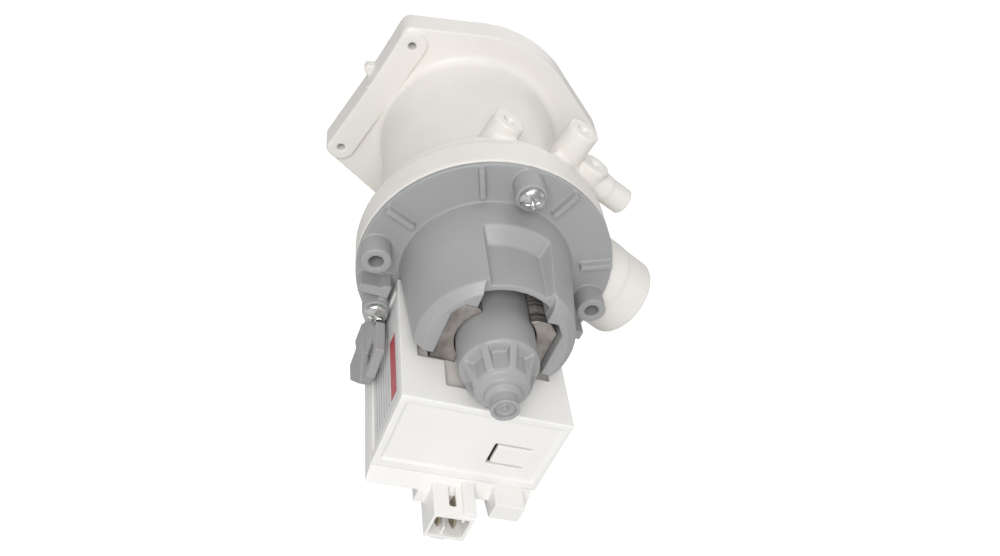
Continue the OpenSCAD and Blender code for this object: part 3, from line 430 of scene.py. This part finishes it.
# Rotor sleeve and thrust washers
# Black plastic end rings hold the magnet on its shaft; pale slippery washers take the
# rotor's push at both ends.
sleeve_plastic = moulded_plastic("sleeve_plastic", (0.03, 0.031, 0.033, 1), 0.4, 0.1)
moulded(
    "rotor_sleeve", "rotor_sleeve_moulding", sleeve_plastic,
    voxel=0.00025, rounding=3,
)
WASHER_TAN = (0.55, 0.47, 0.30, 1)
washer_plastic = moulded_plastic("washer_plastic", WASHER_TAN, 0.32, 0.08, inner_glow=0.1)
dress("thrust_washers", washer_plastic)

# Bearing holder
# The dark disc that closes the casing's recess and carries the front bush and the
# lip seal, moulded in grey glass-filled nylon.
holder_plastic = moulded_plastic("holder_plastic", (0.07, 0.072, 0.076, 1), 0.42, 0.06)
moulded(
    "bearing_holder", "bearing_holder_moulding", holder_plastic,
    voxel=0.00025, rounding=3,
)


# Shaft bushes
# Two bushes pressed and fired from grey ceramic powder, which leaves them speckled;
# one sits in the bearing holder, one in the rubber cup at the can's end.
def speckled_ceramic():
    """Fine speckled grey ceramic with polished and dull spots."""
    material, tree, shader = new_material("bush_ceramic")
    speck = noise(tree, add(tree, "TexCoord").outputs["Object"], 2600.0, 2.0)
    tones = ((0.16, 0.155, 0.15, 1), (0.42, 0.41, 0.39, 1))
    tone, rough = mottled(tree, speck, tones, (0.25, 0.5), spread=(0.35, 0.65))
    surface(tree, shader, tone, rough, speck, strength=0.3, rise=0.00001)
    return material


bush_ceramic = speckled_ceramic()
dress("front_bush", bush_ceramic)
dress("rear_bush", bush_ceramic)

# Motor casing
# One grey glass-filled moulding: flange, bosses, yoke cover with its two claws, the
# closed rotor can and the two latches. Satin, with a faint cloudiness from the fibres.
casing_grey = moulded_plastic("casing_grey", (0.36, 0.362, 0.364, 1), 0.42, 0.05, grain=1800.0)
moulded(
    "motor_casing", "casing_moulding", casing_grey,
    voxel=0.0003, rounding=3, keep=0.22,
)

# Casing screws
# Three zinc-plated pan-head screws with a cross recess and a coarse thread cut for
# plastic. They pull the casing's flange onto the white ring.
SEAM = 0.0895
SCREW_CIRCLE = 0.037
SCREW_ANGLES = (90, 212.02, 327.98)
SCREW_SEAT = 0.0105
HEAD_RADIUS = 0.004
HEAD_HEIGHT = 0.0027
HEAD_EDGE = 0.0009
HEAD_CROWN = 0.72
SHANK_LENGTH = 0.018
SHANK_RADIUS = 0.0019
THREAD_PITCH = 0.0014
THREAD_DEPTH = 0.0005
THREAD_SHARPNESS = 3
POINT_LENGTH = 0.002
POINT_BLUNTNESS = 0.15
RECESS_REACH = 0.0023
RECESS_HALF = 0.00048
RECESS_DEPTH = 0.0015
RECESS_LEAST = 0.0003
RECESS_TAPER = 0.3


def head_height(radius, angle):
    """Height of the domed head above its seat, less the cross recess, whose arms
    grow narrower and shallower outwards."""
    dome = HEAD_HEIGHT * math.sqrt(max(0.0, 1 - HEAD_CROWN * (radius / HEAD_RADIUS) ** 2))
    off_arm = abs(radius * math.sin(2 * angle)) / 2
    outwards = radius / RECESS_REACH
    if outwards < 1 and off_arm < RECESS_HALF * (1 - RECESS_TAPER * outwards):
        return dome - max(RECESS_LEAST, RECESS_DEPTH * (1 - outwards))
    return dome


def grid_mesh(name, rows, closed_start=False, closed_end=False):
    """A skin over rows of points that each run round in a ring."""
    shell = bmesh.new()
    rings = [[shell.verts.new(point) for point in row] for row in rows]
    count = len(rings[0])
    for lower, upper in zip(rings, rings[1:]):
        for i in range(count):
            shell.faces.new((lower[i], lower[(i + 1) % count], upper[(i + 1) % count], upper[i]))
    if closed_start:
        shell.faces.new(list(reversed(rings[0])))
    if closed_end:
        shell.faces.new(rings[-1])
    bmesh.ops.recalc_face_normals(shell, faces=shell.faces)
    mesh = bpy.data.meshes.new(name)
    shell.to_mesh(mesh)
    shell.free()
    return mesh


def screw_rows():
    """Rings of one screw from its tip to the middle of its head, along +Z."""
    around = 96
    steps = 150
    rings = 44
    angles = [2 * math.pi * k / around for k in range(around)]

    def ring(radii, heights):
        return [(r * math.cos(a), r * math.sin(a), z) for a, r, z in zip(angles, radii, heights)]

    rows = []
    for i in range(steps + 1):
        z = -SHANK_LENGTH * (1 - i / steps)
        point = min(1.0, (z + SHANK_LENGTH) / POINT_LENGTH + POINT_BLUNTNESS)
        radii = []
        for k in range(around):
            phase = (z / THREAD_PITCH - k / around) % 1.0
            crest = max(0.0, 1 - THREAD_SHARPNESS * abs(phase - 0.5))
            radii.append((SHANK_RADIUS - THREAD_DEPTH * (1 - crest)) * point)
        rows.append(ring(radii, [z] * around))
    for radius, z in ((HEAD_RADIUS * 0.97, 0.0), (HEAD_RADIUS, 0.0002), (HEAD_RADIUS, HEAD_EDGE)):
        rows.append(ring([radius] * around, [z] * around))
    for i in range(1, rings):
        radius = HEAD_RADIUS * (1 - i / rings) * 0.985
        heights = [max(HEAD_EDGE, head_height(radius, angle)) for angle in angles]
        rows.append(ring([radius] * around, heights))
    return rows


def zinc_plating():
    """Bright zinc with cloudy crystals and fine rub marks."""
    material, tree, shader = new_material("zinc_steel", Metallic=1.0)
    bloom = noise(tree, add(tree, "TexCoord").outputs["Object"], 700.0, 4.0)
    tones = ((0.50, 0.51, 0.50, 1), (0.80, 0.81, 0.79, 1))
    tone, rough = mottled(tree, bloom, tones, (0.18, 0.32))
    surface(tree, shader, tone, rough, bloom, strength=0.25, rise=0.00001)
    return material


screw_bundle = bmesh.new()
for number, degrees in enumerate(SCREW_ANGLES):
    angle = math.radians(degrees)
    seat = (SCREW_CIRCLE * math.cos(angle), -SEAM - SCREW_SEAT, SCREW_CIRCLE * math.sin(angle))
    # The screw's +Z becomes the pump's -Y; each stopped at its own angle
    driven = Matrix.Rotation(0.5 + 1.1 * number, 4, "Z")
    driven = Matrix.Translation(seat) @ Matrix.Rotation(math.radians(90), 4, "X") @ driven
    one = grid_mesh("screw", screw_rows(), closed_start=True, closed_end=True)
    one.transform(driven)
    screw_bundle.from_mesh(one)
    bpy.data.meshes.remove(one)
screw_mesh = bpy.data.meshes.new("pan_head_screws")
screw_bundle.to_mesh(screw_mesh)
screw_bundle.free()
screw_mesh.materials.append(zinc_plating())
screw_mesh.shade_smooth()
finish_piece(new_object("pan_head_screws", screw_mesh), "casing_screws")

# Stator core
# A U-shaped stack of half-millimetre electrical steel sheets, punched and riveted,
# brown-grey from its oxide skin with bright cut edges.
SHEET = 0.0005
SHEET_HALF = 0.38  # as a share of a sheet and its gap


def sheet_stack():
    """Sheet edges as thin bands along the stack, oxide clouds on the faces."""
    material, tree, shader = new_material("lamination_steel", Metallic=0.45)
    place = add(tree, "TexCoord").outputs["Object"]
    oxide = noise(tree, place, 160.0, 6.0, 0.6)
    face_tones = ((0.25, 0.225, 0.20, 1), (0.52, 0.49, 0.46, 1))
    edge_tones = ((0.10, 0.09, 0.08, 1), (0.55, 0.51, 0.47, 1))
    gloss = (0.38, 0.58)
    face, rough = mottled(tree, oxide, face_tones, gloss, spread=(0.3, 0.7))
    depth = add(tree, "SeparateXYZ", [(place, "Vector")]).outputs["Y"]
    count = maths(tree, "DIVIDE", depth, SHEET)
    number = maths(tree, "FLOOR", count)
    own = add(tree, "TexWhiteNoise", [(number, "W")], noise_dimensions="1D").outputs["Value"]
    # 1 inside a sheet, 0 in the gap between two
    inside = maths(tree, "COMPARE", maths(tree, "FRACT", count), 0.5, SHEET_HALF)
    edge = mottled(tree, maths(tree, "MULTIPLY", own, inside), edge_tones, gloss)[0]
    normal = add(tree, "NewGeometry").outputs["Normal"]
    facing = add(tree, "SeparateXYZ", [(normal, "Vector")]).outputs["Y"]
    on_edge = maths(tree, "LESS_THAN", maths(tree, "ABSOLUTE", facing), 0.6)
    tone = add(tree, "Mix", [(on_edge, "Factor"), (face, "A"), (edge, "B")], data_type="RGBA")
    height = maths(tree, "MULTIPLY", inside, on_edge)
    surface(tree, shader, tone.outputs["Result"], rough, height, strength=0.6, rise=0.00004)
    return material


moulded(
    "stator_core", "stator_sheets", sheet_stack(),
    voxel=0.0003, rounding=2, keep=0.35,
)

# Coil formers
# Two natural nylon bobbins, one round each leg of the core, with a cheek above and
# below the winding.
NATURAL_NYLON = (0.74, 0.71, 0.66, 1)
former_plastic = moulded_plastic("former_plastic", NATURAL_NYLON, 0.42, 0.05, inner_glow=0.15)
moulded(
    "left_coil_former", "left_former_moulding", former_plastic,
    voxel=0.00025, rounding=2, keep=0.35,
)
moulded(
    "right_coil_former", "right_former_moulding", former_plastic,
    voxel=0.00025, rounding=2, keep=0.35,
)

# Coils
# Enamelled copper wire wound tight round each former, turn beside turn. The outer
# layer is modelled wire by wire over the body of the layers under it.
WIRE = 0.00045
WIRE_CLEARANCE = 0.00005
COIL_CORNER = 0.004
WINDING_TOP = -0.0162
WINDING_CLEARANCE = 0.0002
LAYERS_INSET = WIRE * 0.7
LAYERS_WALL = COIL_CORNER * 0.97
# Strength of the painted glow that the copper emits
COPPER_PAINTED_GLOW = 0.12


def rounded_rectangle(low, high, inset, steps=5):
    """Points round a rectangle with round corners, each with its outward normal."""
    points = []
    radius = COIL_CORNER - inset
    middle_x, middle_y = (low[0] + high[0]) / 2, (low[1] + high[1]) / 2
    corners = (
        (high[0], high[1], 0),
        (low[0], high[1], 90),
        (low[0], low[1], 180),
        (high[0], low[1], 270),
    )
    for x, y, start in corners:
        centre_x = x - math.copysign(COIL_CORNER, x - middle_x)
        centre_y = y - math.copysign(COIL_CORNER, y - middle_y)
        for i in range(steps + 1):
            angle = math.radians(start + 90 * i / steps)
            normal = (math.cos(angle), math.sin(angle))
            points.append((centre_x + radius * normal[0], centre_y + radius * normal[1], normal))
    return points


def wire_helix(low, high, bottom):
    """The outer layer as rings of one long wire that sinks by its own width each turn."""
    path = rounded_rectangle(low, high, WIRE / 2 + WIRE_CLEARANCE)
    radius = WIRE / 2
    sides = 6
    angles = [2 * math.pi * k / sides for k in range(sides)]
    rows = []
    for turn in range(int((WINDING_TOP - bottom) / WIRE)):
        for i, (x, y, normal) in enumerate(path):
            z = WINDING_TOP - WIRE * (turn + 0.5 + i / len(path))
            ring = []
            for angle in angles:
                out = radius * math.cos(angle)
                place = (x + out * normal[0], y + out * normal[1], z + radius * math.sin(angle))
                ring.append(place)
            rows.append(ring)
    return rows


def packed_layers(low, high, bottom):
    """The layers under the wire as a square tube with round corners."""
    outer = rounded_rectangle(low, high, LAYERS_INSET)
    inner = rounded_rectangle(low, high, LAYERS_WALL)
    rings = (
        (outer, bottom),
        (outer, WINDING_TOP),
        (inner, WINDING_TOP),
        (inner, bottom),
        (outer, bottom),
    )
    return [[(x, y, z) for x, y, normal in outline] for outline, z in rings]


def wound_coil(node, name):
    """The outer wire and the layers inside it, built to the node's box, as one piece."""
    low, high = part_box(node)
    bottom = low[2] + WINDING_CLEARANCE
    bundle = bmesh.new()
    for part in (
        grid_mesh("wire", wire_helix(low, high, bottom), closed_start=True, closed_end=True),
        grid_mesh("layers", packed_layers(low, high, bottom)),
    ):
        bundle.from_mesh(part)
        bpy.data.meshes.remove(part)
    bmesh.ops.remove_doubles(bundle, verts=bundle.verts, dist=1e-7)
    mesh = bpy.data.meshes.new(name)
    bundle.to_mesh(mesh)
    bundle.free()
    mesh.materials.append(copper_wire)
    mesh.shade_smooth()
    finish_piece(new_object(name, mesh), node)


def enamelled_copper():
    """Copper under amber enamel, a little different from turn to turn. Its colour is also
    emitted as a faint painted glow, which brightens the coils seen through the cover's gaps."""
    material, tree, shader = new_material("copper_wire", Metallic=0.85, Coat_Weight=0.4)
    place = add(tree, "TexCoord").outputs["Object"]
    height = add(tree, "SeparateXYZ", [(place, "Vector")]).outputs["Z"]
    turn = maths(tree, "FLOOR", maths(tree, "DIVIDE", height, WIRE))
    own = add(tree, "TexWhiteNoise", [(turn, "W")], noise_dimensions="1D").outputs["Value"]
    streak = noise(tree, place, 500.0, 3.0)
    tones = ((0.42, 0.13, 0.045, 1), (0.78, 0.33, 0.13, 1))
    gloss = (0.25, 0.42)
    varied = maths(tree, "MULTIPLY_ADD", own, 0.4, streak)
    tone = mottled(tree, varied, tones, gloss, spread=(0.3, 1.0))[0]
    tree.links.new(tone, shader.inputs["Base Color"])
    # Painted glow: the copper's own tone is emitted as light, though the wire is no lamp
    tree.links.new(tone, shader.inputs["Emission Color"])
    tree.links.new(stretch(tree, streak, 0.3, 0.7, *gloss), shader.inputs["Roughness"])
    shader.inputs["Emission Strength"].default_value = COPPER_PAINTED_GLOW
    return material


copper_wire = enamelled_copper()
wound_coil("left_coil", "left_coil_winding")
wound_coil("right_coil", "right_coil_winding")

# Thermal cutout
# A small cream plastic case between the two windings, which opens the circuit when
# the coils run hot.
cutout_case = moulded_plastic("cutout_case", (0.55, 0.50, 0.36, 1), 0.4, 0.06)
moulded(
    "thermal_cutout", "thermal_cutout_case", cutout_case,
    voxel=0.00025, rounding=5,
)

# Coil cover
# The white polyester hood over both coils, with a sunk panel in its back, a sunk
# panel for the label and a springy tongue cut free on three sides.
box_white = moulded_plastic("box_white", (0.855, 0.843, 0.82, 1), 0.36, 0.02, inner_glow=0.1)
moulded("coil_cover", "coil_cover_moulding", box_white, voxel=0.0003, rounding=5)

# Coil base
# The white tray under the coils with the plug's shroud and a stop block on its rear
# edge; it snaps into the cover.
moulded("coil_base", "coil_base_moulding", box_white, voxel=0.00025, rounding=4)


# Terminals
# Two pointed blades punched from tinned brass; the tin is worn to a warm grey where
# the plug rubs.
def tinned_brass():
    """Tin over brass with long scratches from the plug."""
    material, tree, shader = new_material("tinned_brass", Metallic=1.0)
    place = add(tree, "TexCoord").outputs["Object"]
    drawn = add(tree, "Mapping", [(place, "Vector"), ((3000.0, 120.0, 2500.0), "Scale")])
    scratch = noise(tree, drawn.outputs[0], 1.0, 3.0)
    tones = ((0.42, 0.35, 0.25, 1), (0.62, 0.57, 0.48, 1))
    tone, rough = mottled(tree, scratch, tones, (0.28, 0.45), spread=(0.35, 0.65))
    surface(tree, shader, tone, rough, scratch, strength=0.3, rise=0.00001)
    return material


moulded(
    "terminals", "terminal_blades", tinned_brass(),
    voxel=0.00012, rounding=2, keep=0.3,
)


# Rating label
# A white film label in the cover's side panel, bare of words: a red band along its
# upper edge and plain grey rules where the print would be.
BAND_HEIGHT = (-0.018, 0.0026)
BAND_DEPTH = (-SEAM - 0.0351, 0.0124)
RULES_HEIGHT = (-0.0289, 0.0068)
RULES_DEPTH = (-SEAM - 0.032, 0.0155)
RULE_PITCH = 0.0024
RULE_HALF = 0.07  # as a share of the pitch


def printed_film():
    """White film, one red band and thin grey rules. Each field has a middle and a half
    width in height and in depth."""
    material, tree, shader = new_material("label_white")
    place = add(tree, "TexCoord").outputs["Object"]
    split = add(tree, "SeparateXYZ", [(place, "Vector")])
    height, depth = split.outputs["Z"], split.outputs["Y"]

    def within(high, deep):
        """1 where both coordinates are inside, 0 elsewhere."""
        in_height = maths(tree, "COMPARE", height, *high)
        return maths(tree, "MULTIPLY", in_height, maths(tree, "COMPARE", depth, *deep))

    def printed(under, mask, ink):
        """The colour under it, with ink wherever the mask is 1."""
        links = [(mask, "Factor"), (under, "A"), (ink, "B")]
        return add(tree, "Mix", links, data_type="RGBA").outputs["Result"]

    line = maths(tree, "FRACT", maths(tree, "DIVIDE", height, RULE_PITCH))
    line = maths(tree, "COMPARE", line, 0.5, RULE_HALF)
    rules = maths(tree, "MULTIPLY", line, within(RULES_HEIGHT, RULES_DEPTH))
    paper = noise(tree, place, 400.0, 4.0)
    tones = ((0.66, 0.655, 0.65, 1), (0.80, 0.795, 0.79, 1))
    white, rough = mottled(tree, paper, tones, (0.3, 0.45))
    red = printed(white, within(BAND_HEIGHT, BAND_DEPTH), (0.52, 0.065, 0.085, 1))
    grey = printed(red, rules, (0.16, 0.16, 0.165, 1))
    surface(tree, shader, grey, rough, paper, strength=0.2, rise=0.00001)
    return material


dress("rating_label", printed_film())

# Floor
# A wide plain white floor under the lowest port. It glows towards the camera, so
# that it shows as white as the studio's paper.
FLOOR_REACH = 4.0
FLOOR_GLOW = 0.7
FLOOR_GREY = (0.62, 0.62, 0.62, 1)
floor_sides = ((-1, -1), (1, -1), (1, 1), (-1, 1))
floor_corners = [(x * FLOOR_REACH, y * FLOOR_REACH, cad_low[2]) for x, y in floor_sides]
floor_mesh = bpy.data.meshes.new("floor")
floor_mesh.from_pydata(floor_corners, [], [(0, 1, 2, 3)])
new_object("floor", floor_mesh)
floor_white, tree, shader = new_material("floor_white", Base_Color=FLOOR_GREY, Roughness=0.9)
shader.inputs["Emission Color"].default_value = (1, 1, 1, 1)
seen = add(tree, "LightPath").outputs["Is Camera Ray"]
tree.links.new(maths(tree, "MULTIPLY", seen, FLOOR_GLOW), shader.inputs["Emission Strength"])
floor_mesh.materials.append(floor_white)

# Light
# One big soft lamp high behind the camera on its left, weak ones on the right and in
# front of the cap, a broad one overhead and an even sky that the camera sees as white.
AIM = Vector((0, -0.08, 0))
for name, place, size, power in (
    ("key_lamp", (-0.40, -1.03, 0.68), 0.6, 9.9),
    ("fill_lamp", (0.9, -0.5, 0.5), 0.6, 0.7),
    ("top_lamp", (-0.15, 0.1, 1.15), 0.9, 2.5),
    ("front_lamp", (0.3, 1.0, 0.25), 0.6, 1.8),
):
    lamp = bpy.data.lights.new(name, "AREA")
    lamp.energy = power
    lamp.size = size
    stand = new_object(name, lamp)
    stand.location = place
    stand.rotation_euler = (AIM - Vector(place)).to_track_quat("-Z", "Y").to_euler()

SKY_LIGHT = 0.43
sky = bpy.data.worlds.new("studio")
sky.use_nodes = True
tree = sky.node_tree
glow = tree.nodes["Background"]
glow.inputs["Color"].default_value = (1, 1, 1, 1)
seen = add(tree, "LightPath").outputs["Is Camera Ray"]
tree.links.new(maths(tree, "MULTIPLY_ADD", seen, 1 - SKY_LIGHT, SKY_LIGHT), glow.inputs["Strength"])
bpy.context.scene.world = sky
bpy.context.scene.view_settings.view_transform = "Standard"

# Camera
# It stands behind the motor, above and to the left, close enough for the strong
# perspective of the photograph.
lens = bpy.data.cameras.new("camera")
lens.lens = 36.0
lens.sensor_width = 36.0
lens.clip_start = 0.01
camera = new_object("camera", lens)
camera_right = Vector((0.92652, -0.10273, 0.36194))
camera_up = Vector((-0.21477, 0.64546, 0.73298))
camera_back = Vector((-0.30892, -0.75685, 0.57597))
stance = Matrix((camera_right, camera_up, camera_back)).transposed().to_4x4()
camera.matrix_world = Matrix.Translation((-0.09591, -0.34020, 0.18806)) @ stance
bpy.context.scene.camera = camera
